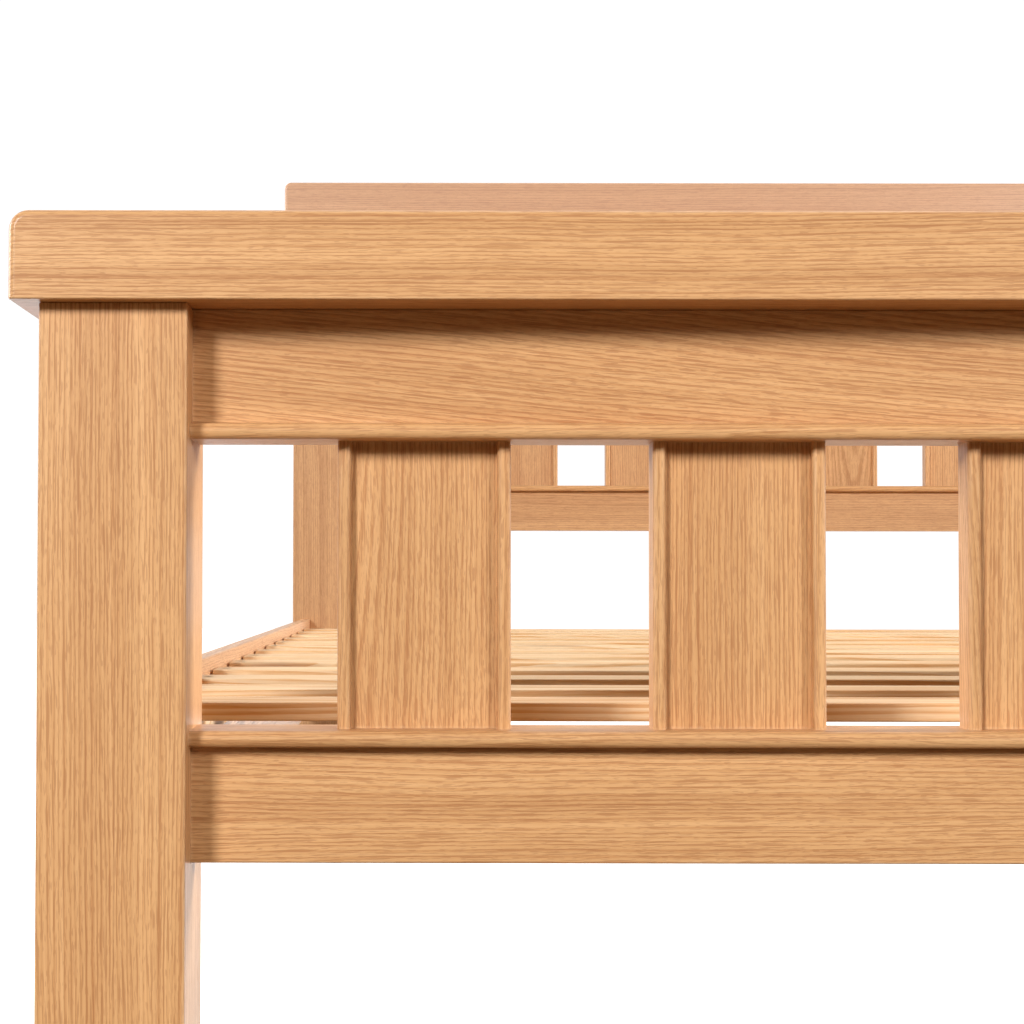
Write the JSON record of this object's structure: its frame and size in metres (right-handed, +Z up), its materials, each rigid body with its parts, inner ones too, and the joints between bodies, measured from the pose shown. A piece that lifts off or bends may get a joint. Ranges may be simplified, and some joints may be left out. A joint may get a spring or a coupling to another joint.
{
  "type": "bed frame",
  "caption": "Oak double bed frame with slatted head and foot ends, thick rounded cap rails, square posts and a base of pine slats.",
  "frame": {"origin": "on the floor, under the centre of the bed's overall box", "axes": "+X across the bed, +Y from the foot end to the head end, +Z up"},
  "size_m": [1.555, 2.085, 1.005],
  "materials": {
    "oak_post": "satin lacquered oak, straight upright grain",
    "oak_cap": "satin lacquered oak, fine flat grain along the rail",
    "oak_rail": "satin lacquered oak, crown grain along the rail",
    "oak_strip": "satin lacquered oak, rounded bead strip",
    "oak_panel": "satin lacquered oak veneer grain, upright",
    "oak_lipping": "satin lacquered oak, rounded edge strip",
    "oak_side_rail": "satin lacquered oak, grain along the rail",
    "pine_slat": "planed bare pine with knots",
    "pine_bearer": "planed bare pine",
    "beech_dowel": "fluted beech",
    "zinc_steel": "bright zinc plated",
    "yellow_zinc": "yellow zinc plated",
    "brass_insert": "turned brass",
    "white_nylon": "moulded nylon",
    "black_nylon": "moulded nylon pad on its stem"
  },
  "bodies": {
    "bed_frame": {"bracket_bolts": "zinc_steel", "bracket_screws": "zinc_steel", "centre_leg": "pine_bearer", "centre_rail": "pine_bearer", "centre_rail_cleats": "pine_bearer", "corner_brackets": "zinc_steel", "dowels": "beech_dowel", "foot_cap_rail": "oak_cap", "foot_lower_rail": "oak_rail", "foot_lower_strip": "oak_strip", "foot_post_left": "oak_post", "foot_post_right": "oak_post", "foot_slat_1": "oak_panel", "foot_slat_2": "oak_panel", "foot_slat_3": "oak_panel", "foot_slat_4": "oak_panel", "foot_slat_5": "oak_panel", "foot_slat_6": "oak_panel", "foot_slat_7": "oak_panel", "foot_slat_8": "oak_panel", "foot_slat_lippings": "oak_lipping", "foot_top_rail": "oak_rail", "foot_top_strip": "oak_strip", "head_base_rail": "oak_rail", "head_cap_rail": "oak_cap", "head_lower_rail": "oak_rail", "head_lower_strip": "oak_strip", "head_post_left": "oak_post", "head_post_right": "oak_post", "head_slat_1": "oak_panel", "head_slat_2": "oak_panel", "head_slat_3": "oak_panel", "head_slat_4": "oak_panel", "head_slat_5": "oak_panel", "head_slat_6": "oak_panel", "head_slat_7": "oak_panel", "head_slat_8": "oak_panel", "head_slat_lippings": "oak_lipping", "head_top_rail": "oak_rail", "head_top_strip": "oak_strip", "leg_insert": "brass_insert", "mattress_slat_1": "pine_slat", "mattress_slat_10": "pine_slat", "mattress_slat_11": "pine_slat", "mattress_slat_12": "pine_slat", "mattress_slat_13": "pine_slat", "mattress_slat_2": "pine_slat", "mattress_slat_3": "pine_slat", "mattress_slat_4": "pine_slat", "mattress_slat_5": "pine_slat", "mattress_slat_6": "pine_slat", "mattress_slat_7": "pine_slat", "mattress_slat_8": "pine_slat", "mattress_slat_9": "pine_slat", "post_glides": "white_nylon", "side_rail_left": "oak_side_rail", "side_rail_right": "oak_side_rail", "slat_ledgers": "pine_bearer", "wood_screws": "yellow_zinc"},
    "levelling_foot": {"levelling_foot": "black_nylon"}
  },
  "joints": [
    {"name": "levelling_foot_height", "type": "slide", "parent": "bed_frame", "child": "levelling_foot", "axis": [0, 0, 1], "range_m": [-0.01, 0.008]}
  ]
}
